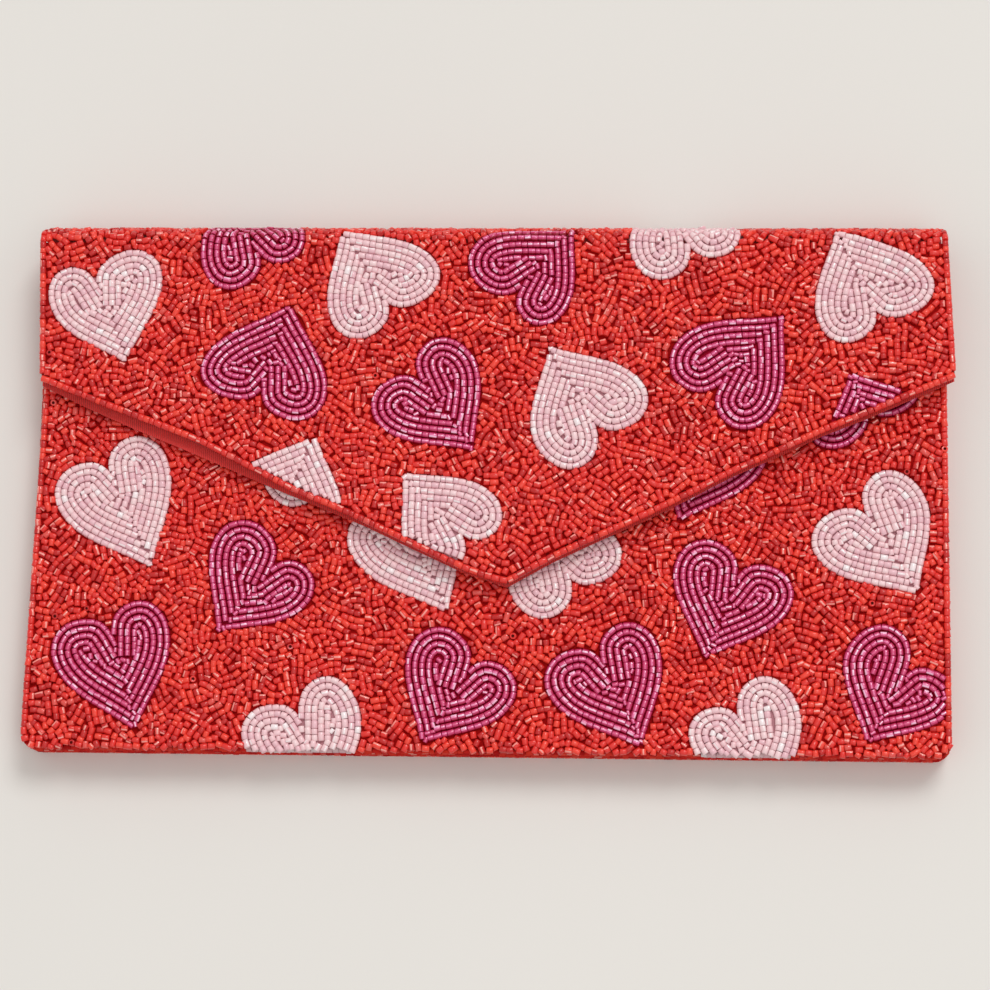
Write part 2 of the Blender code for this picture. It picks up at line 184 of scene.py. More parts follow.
def heart_half(depth, width, rise, steps=14):
    """One lobe's outline from the notch to the tip, as (along the heart's axis, out from it)."""
    waist, crown = 0.1 * depth, 0.52 * width
    run = depth - waist
    lobe = bezier((0, 0), (-0.75 * rise, 0.06 * width), (-rise, 0.28 * width), (-rise, crown), steps)
    side = bezier((-rise, crown), (-rise, crown + 0.55 * (width - crown)),
                  (waist - 0.55 * (waist + rise), width), (waist, width), steps)
    flank = bezier((waist, width), (waist + 0.42 * run, width), (depth - 0.34 * run, 0.36 * width),
                   (depth, 0), steps)
    return np.concatenate([lobe, side, flank, [[depth, 0]]])


def heart_outline(notch, tip, widths, rises=(6, 6)):
    notch, tip = np.array(notch, float), np.array(tip, float)
    depth = hypot(*(tip - notch))
    along = (tip - notch) / depth
    across = np.array((-along[1], along[0]))
    near = heart_half(depth, widths[1], rises[1])
    far = heart_half(depth, widths[0], rises[0])
    points = [notch + p[:1] * along + p[1:] * across for p in near]
    points += [notch + p[:1] * along - p[1:] * across for p in far[-2:0:-1]]
    return np.array(points)


def grid(xs, ys):
    """Every pair of an x and a y as a point, row by row."""
    return np.stack(np.meshgrid(xs, ys), axis=2).reshape(-1, 2)


def columns(*parts):
    return np.stack(parts, axis=1)


def distances(path):
    """How far along a path each of its points is."""
    return np.concatenate([[0], np.cumsum(np.hypot(*np.diff(path, axis=0).T))])


def points_at(wanted, path):
    """The x and y of a path at the wanted distances along it."""
    return [np.interp(wanted, distances(path), path[:, k]) for k in (0, 1)]


def resample(path, step):
    """The same path with evenly spaced points."""
    whole = distances(path)[-1]
    count = max(2, int(round(whole / step)) + 1)
    return np.stack(points_at(np.linspace(0, whole, count), path), axis=1)


def bead_ends(path, mean, spread, longest):
    """The x and y of the ends of the beads that a path is cut into."""
    whole = distances(path)[-1]
    count = int(round(whole / mean))
    if count < 1:
        return path[:1].T
    parts = mean * np.clip(rng.normal(1, spread, count), 0.7, longest)
    return points_at(np.concatenate([[0], np.cumsum(parts)]) * whole / parts.sum(), path)


def unit(vectors):
    return vectors / np.linalg.norm(vectors, axis=1)[:, None]


def stations(path):
    """The middle of each stretch of a path in plan, its level direction in space and its length."""
    x, y = ((path[1:] + path[:-1]) / 2).T
    run = np.column_stack([np.diff(path, axis=0), np.zeros(len(x))])
    return x, y, unit(run), np.linalg.norm(run, axis=1)


def gap_to(points, outline, closed=True):
    """How far each point is from an outline."""
    start, run = outline, np.roll(outline, -1, axis=0) - outline
    if not closed:
        start, run = start[:-1], run[:-1]
    offset = points[:, None] - start
    share = np.clip((offset * run).sum(2) / (run ** 2).sum(1), 0, 1)
    return np.sqrt(((offset - share[..., None] * run) ** 2).sum(2)).min(1)


# Where a bead's place is tested, as shares of its length and width.
SPOTS_ALONG, SPOTS_ASIDE = (part.ravel() for part in np.meshgrid(*[(np.arange(6) + 0.5) / 6 - 0.5] * 2))


class Cloth:
    """The ground cloth of a panel laid flat, the beads sewn to it, and the space they take."""

    def __init__(self, inside, low, high):
        self.low = np.array(low, float)
        self.shape = tuple(int((b - a) / CELL) + 1 for a, b in zip(low, high))[::-1]
        xs = self.low[0] + CELL * np.arange(self.shape[1])
        ys = self.low[1] + CELL * np.arange(self.shape[0])
        self.inside = inside(grid(xs, ys)).reshape(self.shape)
        self.taken = np.zeros(self.shape, bool)
        self.beads = []

    def window(self, x, y, angle, length, width):
        """The cells that a bead covers."""
        column, row = (x - self.low[0]) / CELL, (y - self.low[1]) / CELL
        span = 0.5 * hypot(length, width) / CELL
        j0, j1 = max(0, int(column - span)), min(self.shape[1], int(column + span) + 2)
        i0, i1 = max(0, int(row - span)), min(self.shape[0], int(row + span) + 2)
        dx = (np.arange(j0, j1) - column) * CELL
        dy = (np.arange(i0, i1)[:, None] - row) * CELL
        c, s = cos(angle), sin(angle)
        mask = (np.abs(dx * c + dy * s) <= length / 2) & (np.abs(dy * c - dx * s) <= width / 2)
        return (slice(i0, i1), slice(j0, j1)), mask

    def covered(self, x, y, angle, length, width):
        """The share of each bead's place that is off the cloth or under other beads."""
        x, y, angle, length, width = (np.asarray(a, float)[..., None] for a in (x, y, angle, length, width))
        along, aside = length * SPOTS_ALONG, width * SPOTS_ASIDE
        c, s = np.cos(angle), np.sin(angle)
        j = ((x + along * c - aside * s - self.low[0]) / CELL + 0.5).astype(int)
        i = ((y + along * s + aside * c - self.low[1]) / CELL + 0.5).astype(int)
        rows, across = self.shape
        off = (i < 0) | (i >= rows) | (j < 0) | (j >= across)
        i, j = np.clip(i, 0, rows - 1), np.clip(j, 0, across - 1)
        outside = off | ~self.inside[i, j]
        return (outside | self.taken[i, j]).mean(-1), (self.taken[i, j] & ~outside).mean(-1)

    def sew(self, x, y, angle, length, width, colour, most):
        """Add a bead unless more than a share of it would lie on others or off the cloth."""
        covered, stacked = self.covered(x, y, angle, length, width)
        where, mask = self.window(x, y, angle, length, width)
        if covered > most or not mask.any():
            return
        self.taken[where] |= mask
        self.beads.append((x, y, angle, length, width, colour, stacked))

    def string(self, path, colour=RED, mean=LONG, most=OVERLAP, spread=0.12, width=WIDE, apart=GAP):
        """Beads end to end along an open path."""
        px, py = bead_ends(path, mean, spread, 1.7)
        for x0, y0, x1, y1 in zip(px, py, px[1:], py[1:]):
            length = hypot(x1 - x0, y1 - y0) - apart
            if length > SHORTEST:
                self.sew((x0 + x1) / 2, (y0 + y1) / 2, atan2(y1 - y0, x1 - x0), length, width, colour, most)

    def heart(self, colour, notch, tip, widths, rises=(6, 6)):
        """Rows of beads that follow each half's outline inwards, mitred where the halves meet."""
        notch, tip = np.array(notch, float), np.array(tip, float)
        depth = hypot(*(tip - notch))
        axis = (tip - notch) / depth
        aside = np.array((-axis[1], axis[0]))
        pitch = ROWS_OF_HEARTS[colour]
        for side, width, rise in ((-1, widths[0], rises[0]), (1, widths[1], rises[1])):
            half = resample(heart_half(depth, width, rise), 0.4)
            run = unit(np.gradient(half, axis=0))
            inward = columns(run[:, 1], -run[:, 0])
            level = 0.5 * pitch
            while level < width + rise:
                row = half + level * inward
                row = row[(gap_to(row, half, False) > level - 0.07) & (row[:, 1] > 0.45 * pitch * (side > 0))]
                if len(row) < 3:
                    break
                lead = row[0] - row[1]
                if lead[1] < -0.02:
                    reach = min(row[0][1] / -lead[1], 8 / hypot(*lead))
                    row = np.concatenate([[row[0] + reach * lead], row])
                cuts = np.flatnonzero(np.hypot(*np.diff(row, axis=0).T[:, 1:]) > 1.3) + 2
                for path in np.split(row, cuts):
                    if len(path) > 2:
                        laid = notch + path[:, :1] * axis + side * path[:, 1:] * aside
                        self.string(laid, colour, most=HEART_OVERLAP, width=pitch - 0.04, apart=APART[colour])
                level += pitch
        outline = heart_outline(notch, tip, widths, rises)
        low, high = outline.min(0), outline.max(0)
        spots = grid(*(np.arange(a, b, 0.5) for a, b in zip(low, high)))
        spots = spots[inside_polygon(spots, outline)]
        spots = spots[gap_to(spots, outline[::3]) > 0.8]
        last = self.low + CELL * (np.array(self.shape[::-1]) - 1)
        spots = spots[((spots > self.low) & (spots < last)).all(1)]
        if len(spots):
            self.fill(spots, colour, HEART_BEADS)
        self.close(outline)

    def close(self, outline):
        """Leave no room for other beads inside a finished heart."""
        first = np.maximum(((outline.min(0) - self.low) / CELL).astype(int), 0)
        last = ((outline.max(0) - self.low) / CELL).astype(int) + 1
        part = self.taken[first[1]:last[1], first[0]:last[0]]
        rows, across = part.shape
        spots = self.low + CELL * (grid(np.arange(across), np.arange(rows)) + first)
        part |= inside_polygon(spots, outline).reshape(part.shape)

    def fill(self, spots, colour, sizes):
        """Put beads in the holes that are left round the given spots, the roomiest first."""
        cells = ((spots - self.low) / CELL + 0.5).astype(int)
        x, y = spots.T[:, :, None]
        for most, length, width in sizes:
            turns = rng.uniform(0, pi) + np.arange(8) * pi / 8
            covered, _ = self.covered(x, y, np.broadcast_to(turns, (len(spots), 8)), length, width)
            best, least = covered.argmin(1), covered.min(1)
            for k in np.argsort(least, kind="stable"):
                if least[k] > most:
                    break
                if not self.taken[cells[k, 1], cells[k, 0]]:
                    self.sew(*spots[k], turns[best[k]], length, width, colour, most)

    def cover(self, hearts, patch):
        """Sew the hearts, then fill the rest in small patches of short rows, each at its own angle."""
        for heart in hearts:
            self.heart(*heart)
        size = np.array(self.shape[::-1]) * CELL
        seeds = grid(*(np.arange(int(side / patch) + 2.0) for side in size))
        seeds = self.low + patch * (seeds + rng.uniform(-0.48, 0.48, seeds.shape))
        reach = 1.3 * patch
        levels = np.arange(-int(reach / ROW) - 1, int(reach / ROW) + 2)
        for k in rng.permutation(len(seeds)):
            near = seeds[np.hypot(*(seeds - seeds[k]).T) < 3 * patch]
            radius = rng.choice((-1, 1)) * rng.uniform(*PATCH_BEND)
            angle = rng.uniform(0, 2 * pi)
            centre = seeds[k] - radius * np.array((-sin(angle), cos(angle)))
            rows = radius + levels * ROW
            rows = rows[(rows * radius > 0) & (np.abs(rows) > 3)]
            count = int(reach) + 2
            longer = rng.uniform(size=(len(rows), count)) < LONG_BEADS
            lengths = rng.normal(2.06, 0.2, (len(rows), count)) + 0.8 * longer
            ends = np.cumsum(lengths + 0.1, axis=1) - reach - rng.uniform(0, 2, (len(rows), 1))
            turns = angle - (ends - lengths / 2) / rows[:, None]
            x = centre[0] - rows[:, None] * np.sin(turns)
            y = centre[1] + rows[:, None] * np.cos(turns)
            spots = columns(x.ravel(), y.ravel())
            nearest = np.hypot(*(spots[:, None] - near).transpose(2, 0, 1)).argmin(1)
            own = np.hypot(*(near - seeds[k]).T).argmin()
            for n in np.flatnonzero(nearest == own):
                self.sew(*spots[n], turns.ravel()[n], lengths.ravel()[n], WIDE, RED, GROUND_OVERLAP)
        for size in HOLE_BEADS:
            i, j = np.nonzero(self.inside & ~self.taken)
            kept = (i + 2 * j) % 3 == 0
            self.fill(self.low + CELL * columns(j[kept], i[kept]), RED, (size,))


def inside_polygon(points, outline):
    """True for each point inside a closed outline."""
    x, y = points[:, 0], points[:, 1]
    found = np.zeros(len(points), bool)
    for (x0, y0), (x1, y1) in zip(outline, np.roll(outline, -1, axis=0)):
        if y0 == y1:
            continue
        crosses = (y0 > y) != (y1 > y)
        found ^= crosses & (x < x0 + (y - y0) * (x1 - x0) / (y1 - y0))
    return found


# ---- panels laid flat

SIDE = 0.97                 # from an edge to the middle of the row of beads along it


def rim_path(inset, top, draw_left=0.0, draw_right=0.0):
    """The body's outline in plan from the top left, round the bottom, to the top right."""
    radius = CORNER - inset
    left, right, bottom = LEFT + inset, RIGHT - inset, BOTTOM + inset
    points = [(left + draw_left, top)]
    for centre_x, start in ((left + radius, pi), (right - radius, 1.5 * pi)):
        for step in range(7):
            angle = start + step * pi / 12
            points.append((centre_x + radius * cos(angle), bottom + radius + radius * sin(angle)))
    points.append((right - draw_right, top))
    return resample(np.array(points), 0.5)


def edge_height(x, rise=0.0):
    """The flap's lower edge: its height at each x."""
    x = np.asarray(x, float)
    heights = []
    for corner, wave in ((FLAP_LEFT, WAVE_LEFT), (FLAP_RIGHT, WAVE_RIGHT)):
        share = np.clip((x - FLAP_TIP[0]) / (corner[0] - FLAP_TIP[0]), 0, 1)
        stands = sum(np.interp(share + step, *zip(*wave)) for step in (-0.02, 0, 0.02)) / 3
        heights.append(FLAP_TIP[1] + share * (corner[1] - FLAP_TIP[1]) + stands)
    return np.where(x < FLAP_TIP[0], *heights) + rise


def flap_sides(v):
    """The flap's left and right edges at each height."""
    left = np.interp(v, (FLAP_LEFT[1], FOLD_Y), (FLAP_LEFT[0], LEFT))
    right = np.interp(v, (FLAP_RIGHT[1], FOLD_Y), (FLAP_RIGHT[0], RIGHT))
    return left, right


# The fold in section, from the flap round to the back, through the middle of its beads.
turns = np.linspace(pi / 2, -pi / 2, 241)
reach_y = FOLD_REACH - BEADS / 2
reach_z = TOTAL / 2 - BEADS / 2
fold_section = columns(FOLD_Y + reach_y * np.cos(turns), TOTAL / 2 + reach_z * np.sin(turns))
fold_at = distances(fold_section)
FOLD_LENGTH = fold_at[-1]
fold_run = columns(-reach_y * np.sin(turns), reach_z * np.cos(turns)) * (-1)
fold_run /= np.hypot(*fold_run.T)[:, None]
FOLD_END = FOLD_Y + FOLD_LENGTH
TURN_OVER = FOLD_Y + FOLD_END               # less y: where a point of the back lies on the flat layout
FOLD_ROUND = 2.6            # how far the fold's ends are rounded in
FOLD_BULGE = 3.2            # over which stretch of y


def wrapped(x, v, rise=0.0):
    """Where points of the flap, the fold and the back lie, with the directions of x, v and outwards."""
    x, v = np.asarray(x, float), np.asarray(v, float)
    at = np.clip(v - FOLD_Y, 0, FOLD_LENGTH)
    y, z = (np.interp(at, fold_at, fold_section[:, k]) for k in (0, 1))
    run_y, run_z = (np.interp(at, fold_at, fold_run[:, k]) for k in (0, 1))
    size = np.hypot(run_y, run_z)
    run_y, run_z = run_y / size, run_z / size
    beyond = v - FOLD_Y - at
    y, z = y + beyond * run_y, z + beyond * run_z
    squeeze = np.clip((y - (FOLD_Y + reach_y - FOLD_BULGE)) / FOLD_BULGE, 0, 1) ** 2.2
    x = x * (1 - squeeze * FOLD_ROUND / 140)
    none = np.zeros_like(x)
    normal = columns(none, -run_z, run_y)
    place = columns(x, y, z) + normal * np.reshape(rise, (-1, 1))
    return place, columns(none + 1, none, none), columns(none, run_y, run_z), normal


def front_face(x, y, rise=0.0):
    none = np.zeros_like(np.asarray(x, float))
    place = columns(x, y, none + FRONT_TOP - BEADS / 2 + rise)
    axes = (columns(none + a, none + b, none + c) for a, b, c in np.eye(3))
    return (place, *axes)


def off_corners(x, y):
    """True above the bottom and clear of its round corners."""
    within = y > BOTTOM + 0.1
    low = y < BOTTOM + CORNER
    for centre, side in ((LEFT + CORNER, x < LEFT + CORNER), (RIGHT - CORNER, x > RIGHT - CORNER)):
        within &= ~(low & side & (np.hypot(x - centre, y - BOTTOM - CORNER) > CORNER - 0.1))
    return within


def inside_front(points):
    """Inside the front's face, clear of the bare round where the snap's socket sits."""
    x, y = points.T
    share = (y - BOTTOM) / (MOUTH - BOTTOM)
    left, right = LEFT + DRAW_LEFT * share + 0.1, RIGHT - DRAW_RIGHT * share - 0.1
    within = off_corners(x, y) & (x > left) & (x < right) & (y < MOUTH - 0.2)
    return within & (np.hypot(x - SNAP[0], y - SNAP[1]) > SNAP_RADIUS + 0.6)


def inside_flap(points, inset=0.05, rise=0.0):
    x, v = points.T
    left, right = flap_sides(v)
    return (x > left + inset) & (x < right - inset) & (v > edge_height(x, rise)) & (v < FOLD_END)


def inside_flap_bed(points):
    """Inside the field of the flap, clear of the beads along its slanted edge."""
    return inside_flap(points, 0.4, 1.0) & (points[:, 1] <= FOLD_Y)


def inside_back(points):
    x, v = points.T
    return off_corners(x, TURN_OVER - v) & (x > LEFT + 0.1) & (x < RIGHT - 0.1) & (v > FOLD_END)


def lay_front():
    cloth = Cloth(inside_front, (LEFT, BOTTOM), (RIGHT, MOUTH))
    path = rim_path(SIDE, MOUTH, DRAW_LEFT, DRAW_RIGHT)
    for half in (path[:, 0] < 0, path[:, 0] > 0):
        cloth.string(path[half & (path[:, 1] > BOTTOM + CORNER)])
    cloth.string(np.array([(LEFT + DRAW_LEFT + 2.2, MOUTH - SIDE), (RIGHT - 2.2, MOUTH - SIDE)]))
    cloth.cover(FRONT_HEARTS, PATCH)
    return cloth


def lay_flap():
    cloth = Cloth(inside_flap, (LEFT, FLAP_TIP[1]), (FLAP_RIGHT[0], FOLD_END))
    xs = np.linspace(FLAP_LEFT[0] + 0.6, FLAP_RIGHT[0] - 0.6, 500)
    row = 1.05 / cos(radians(24))
    edge = columns(xs, edge_height(xs, row))
    split = int(np.argmin(np.abs(xs - FLAP_TIP[0])))
    for part in (edge[:split + 1], edge[split:]):
        cloth.string(part, mean=2.2, most=0.5, spread=0.2, width=2.05)
    cloth.edging = len(cloth.beads)
    for side, corner, inset in ((0, FLAP_LEFT, SIDE), (1, FLAP_RIGHT, -SIDE)):
        vs = np.linspace(corner[1] + 2.2, FOLD_END, 200)
        cloth.string(columns(flap_sides(vs)[side] + inset, vs))
    cloth.cover(FLAP_HEARTS, PATCH)
    return cloth


# The back's hearts as they lie on the flat layout, beyond the fold.
HEARTS_OVER = [(colour, (notch[0], TURN_OVER - notch[1]), (tip[0], TURN_OVER - tip[1]), *shape)
               for colour, notch, tip, *shape in BACK_HEARTS]


def lay_back():
    cloth = Cloth(inside_back, (LEFT, FOLD_END), (RIGHT, TURN_OVER - BOTTOM))
    path = rim_path(SIDE, FOLD_Y)
    path[:, 1] = TURN_OVER - path[:, 1]
    cloth.string(path)
    cloth.cover(HEARTS_OVER, BACK_PATCH)
    return cloth


def sewn(beads, surface, rough=1.0, highest=1.0):
    """A flat layout's beads in space: place, direction, outwards, length, width, colour, standing."""
    x, v, angle, length, width, colour, stacked = np.array(beads).T
    count = len(x)
    rise = np.minimum(np.clip(rng.normal(0, 0.10 * rough, count), -0.2, 0.3) + stacked * STACKED, highest)
    place, along, across, outward = surface(x, v, rise)
    loose = np.where(colour == RED, 1.0, 0.55) * rough
    angle = angle + rng.normal(0, ASKEW, count) * loose
    tilt = rng.normal(0, TIPPED, count) * loose
    level = along * np.cos(angle)[:, None] + across * np.sin(angle)[:, None]
    run = level + outward * np.tan(tilt)[:, None]
    standing = (rng.uniform(size=count) < STANDING * rough) & (colour == RED)
    run = np.where(standing[:, None], outward + 0.25 * level, run)
    outward = np.where(standing[:, None], level, outward)
    length = np.where(standing, 1.8, length)
    return place, unit(run), outward, length, width, colour.astype(int), standing


def rim(rows, top, draws, hearts):
    """Rows of beads round the body's sides and bottom, one row for each height."""
    found = []
    outlines = [(heart_outline(*heart[1:]), heart[0]) for heart in hearts]
    for level, height in enumerate(rows):
        ends = np.stack(bead_ends(rim_path(SIDE, top, *draws), LONG, 0.12, 1.4), axis=1)
        x, y, run, length = stations(ends)
        count = len(x)
        run[:, 2] = rng.normal(0, 0.05, count)
        out = columns(run[:, 1], -run[:, 0], np.zeros(count))
        laid = columns(x, y) + out[:, :2] * (SIDE + ROW * (level + 0.5))
        colour = np.full(count, RED)
        for outline, shade in outlines:
            colour[inside_polygon(laid, outline)] = shade
        place = columns(x, y, height + rng.normal(0, 0.08, count))
        place += out * rng.normal(0, 0.08, count)[:, None]
        found.append((place, run, out, length - GAP, np.full(count, WIDE), colour, colour < 0))
    return [np.concatenate(part) for part in zip(*found)]


# ---- bead meshes

def bead_shape(sides, rings, holed=False):
    """A tube bead: for each point its end, its inset from there and its section."""
    turns_round = [(k + 0.5) * 2 * pi / sides for k in range(sides)]
    points = [(end, inset, size * cos(turn), size * sin(turn))
              for end, inset, size in rings for turn in turns_round]
    faces, facing, kind, smooth = [], [], [], []
    for ring in range(len(rings) - 1):
        for k in range(sides):
            a, b = ring * sides + k, ring * sides + (k + 1) % sides
            faces.append((a, b, b + sides, a + sides))
            facing.append((k + 1) * 2 * pi / sides)
            kind.append(2 if holed and rings[ring + 1][2] < 0.45 else 1)
            smooth.append(rings[ring][2] == rings[ring + 1][2] == 1.0)
    faces.append(tuple(reversed(range(sides))))
    faces.append(tuple(range((len(rings) - 1) * sides, len(rings) * sides)))
    facing += [0.0, 0.0]
    kind += [0, 2 if holed else 0]
    smooth += [False, False]
    return np.array(points), faces, np.array(facing), np.array(kind), smooth


FINE = bead_shape(12, ((-1, 0.0, 0.86), (-1, 0.12, 1.0), (1, 0.12, 1.0), (1, 0.0, 0.86)))
PLAIN = bead_shape(6, ((-1, 0.0, 0.82), (-1, 0.14, 1.0), (1, 0.14, 1.0), (1, 0.0, 0.82)))
OPEN = bead_shape(12, ((-1, 0.0, 0.84), (-1, 0.12, 1.0), (1, 0.12, 1.0), (1, 0.0, 0.84),
                       (1, 0.05, 0.5), (1, 0.9, 0.42)), holed=True)
STITCH = bead_shape(6, ((-1, 0.0, 0.4), (-1, 0.2, 0.85), (0, 0.0, 1.0), (1, 0.2, 0.85), (1, 0.0, 0.4)))


def new_object(name, data):
    made = bpy.data.objects.new(name, data)
    bpy.context.scene.collection.objects.link(made)
    return made


def raw_mesh(name, points, corners, starts, slots, materials, smooth=False):
    mesh = bpy.data.meshes.new(name)
    mesh.vertices.add(len(points))
    mesh.vertices.foreach_set("co", (np.asarray(points, float) * MM).astype(np.float32).ravel())
    mesh.loops.add(len(corners))
    mesh.loops.foreach_set("vertex_index", np.asarray(corners, np.int32))
    mesh.polygons.add(len(starts))
    for key, values in (("loop_start", starts), ("material_index", slots)):
        mesh.polygons.foreach_set(key, np.asarray(values, np.int32))
    mesh.polygons.foreach_set("use_smooth", np.full(len(starts), smooth))
    for found in materials:
        mesh.materials.append(found)
    mesh.update(calc_edges=True)
    return new_object(name, mesh)


def quad_mesh(name, points, quads, slots, materials, smooth=False):
    corners = np.reshape(quads, -1)
    return raw_mesh(name, points, corners, np.arange(0, len(corners), 4), slots, materials, smooth)


def string_beads(name, beads, form=FINE, finishes=None):
    """One mesh of many beads, each a tube turned a little about its own length, some with a painted highlight
    on one facet.
    """
    place, run, out, length, width, colour = beads[:6]
    shape, faces, facing, kind, smooth = form
    count, sides = len(place), len(faces[-1])
    side = unit(np.cross(out, run))
    up = np.cross(run, side)
    roll = rng.uniform(-0.3, 0.3, count) * pi / sides
    end, inset, sy, sz = shape.T
    c, s = np.cos(roll)[:, None], np.sin(roll)[:, None]
    radius = width[:, None] / 2
    along = end * (length[:, None] / 2 - inset)
    y = radius * (sy * c - sz * s)
    z = radius * (sy * s + sz * c)
    points = (place[:, None] + along[..., None] * run[:, None]
              + y[..., None] * side[:, None] + z[..., None] * up[:, None])
    ends = np.cumsum([len(face) for face in faces])
    each = np.arange(count)[:, None]
    corners = (np.concatenate(faces) + len(shape) * each).ravel()
    starts = (np.append(0, ends[:-1]) + ends[-1] * each).ravel()
    tone = rng.uniform(size=count)
    slots = np.zeros((count, len(faces)), int)
    height = np.sin(facing)
    # Painted highlight: on some beads one facet near the top takes a paler shade, standing in for a
    # reflection of the lamp.
    bright = pi / 2 + rng.integers(-1, 2, count) * pi / 6
    bright = (np.abs(facing - bright[:, None]) < 0.1) & (kind == 1) & np.array(smooth)
    glints = rng.uniform(size=count)
    for number, (shades, shares, middle, dark, glint, often) in enumerate(PALETTE):
        pick = np.searchsorted(np.cumsum(shares), tone * sum(shares))
        shade = np.array(shades)[np.minimum(pick, len(shades) - 1)][:, None]
        # Painted shade: on magenta beads only the faces that look straight up keep the bead's shade; the
        # shoulders and upper ends take a darker shade and the lower sides and end caps a darker one still,
        # painting a bright band along each top.
        if middle is not None:
            shade = np.where((height > 0.9) & np.array(smooth), shade, np.where(height > 0.6, middle, dark))
        shade = np.where(bright & (glints < often)[:, None], glint, shade)
        slots = np.where((colour == number)[:, None], shade, slots)
    # Painted shade: the wall and floor of a bead's hole are darkened.
    slots = np.where(kind == 2, HOLE, slots)
    if finishes and len(finishes) == 1:
        slots = np.zeros_like(slots)
    made = raw_mesh(name, points.reshape(-1, 3), corners, starts, slots.ravel(), finishes or GLASS)
    made.data.polygons.foreach_set("use_smooth", np.tile(smooth, count))
    return made


def thread_bed(panel, inside, low, high, surface, hearts, body, pitch=1.4):
    """The threads between the beads: a thin closed layer, coloured like the beads above it."""
    across, up = (int((b - a) / pitch) for a, b in zip(low, high))
    spots = grid(low[0] + pitch * np.arange(across + 1), low[1] + pitch * np.arange(up + 1))
    under, shape = len(spots), (up + 1, across + 1)
    within = inside(spots).reshape(shape)
    kept = within[:-1, :-1] & within[1:, :-1] & within[:-1, 1:] & within[1:, 1:]
    i, j = np.nonzero(kept)
    ids = np.arange(under).reshape(shape)
    a, b, c, d = ids[i, j], ids[i, j + 1], ids[i + 1, j + 1], ids[i + 1, j]
    colour = np.full(len(i), RED)
    for heart in hearts:
        within = inside_polygon(spots, heart_outline(*heart[1:]))
        colour[within[a] & within[b] & within[c] & within[d]] = heart[0]
    quads = [columns(a, b, c, d), columns(a, d, c, b) + under]
    around = np.pad(kept, 1)
    for (down, over), (p, q) in (((-1, 0), (a, b)), ((0, 1), (b, c)), ((1, 0), (c, d)), ((0, -1), (d, a))):
        edge = ~around[i + 1 + down, j + 1 + over]
        quads.append(columns(q, p, p + under, q + under)[edge])
    quads = np.concatenate(quads)
    slots = np.zeros(len(quads), int)
    slots[:len(colour)] = colour
    points = np.concatenate([surface(*spots.T, BED_TOP)[0], surface(*spots.T, BED_TOP - 0.45)[0]])
    used, renumbered = np.unique(quads, return_inverse=True)
    made = quad_mesh(f"{panel}_thread_bed", points[used], renumbered, slots, BED)
    put(made, body, f"{panel}_beads")


# ---- materials

def node_material(name, colour, roughness, **inputs):
    made = bpy.data.materials.new(name)
    made.use_nodes = True
    shader = made.node_tree.nodes["Principled BSDF"]
    shader.inputs["Base Color"].default_value = (*colour, 1.0)
    shader.inputs["Roughness"].default_value = roughness
    for key, value in inputs.items():
        shader.inputs[key.replace("_", " ").title().replace("Ior", "IOR")].default_value = value
    return made, made.node_tree, shader


def new_node(tree, kind, inputs, **settings):
    """A shader node. Each input given is a value, or the output that feeds it."""
    made = tree.nodes.new(f"ShaderNode{kind}")
    for key, value in settings.items():
        setattr(made, key, value)
    for key, value in inputs.items():
        if isinstance(value, bpy.types.NodeSocket):
            tree.links.new(value, made.inputs[key])
        else:
            made.inputs[key].default_value = value
    return made


def uneven(tree, scale, detail=2.0):
    """The object's own coordinates, and noise that is fixed to them."""
    place = new_node(tree, "TexCoord", {}).outputs["Object"]
    noise = new_node(tree, "TexNoise", {"Vector": place, "Scale": scale, "Detail": detail})
    return place, noise.outputs["Fac"]


def ranged(tree, value, low, high):
    return new_node(tree, "MapRange", {"Value": value, "To Min": low, "To Max": high}).outputs["Result"]


def multiply_add(tree, value, factor, added):
    return new_node(tree, "Math", {0: value, 1: factor, 2: added}, operation="MULTIPLY_ADD").outputs["Value"]


def two_toned(tree, value, ends, colour, shades):
    """A colour that goes from its darker to its lighter shade as the value rises."""
    ramp = new_node(tree, "ValToRGB", {"Fac": value})
    for stop, position, shade in zip(ramp.color_ramp.elements, ends, shades):
        stop.position = position
        stop.color = (*(min(1, c * shade) for c in colour), 1)
    return ramp.outputs["Color"]


def glass(name, colour, roughness=0.32, coat=0.4, level=0.35):
    """Pressed glass: a satin body under a clear skin that is duller in places."""
    made, tree, shader = node_material(name, colour, roughness, coat_weight=coat, specular_ior_level=level,
                                       coat_roughness=0.08)
    tree.links.new(ranged(tree, uneven(tree, 900.0)[1], 0.03, 0.22), shader.inputs["Coat Roughness"])
    return made


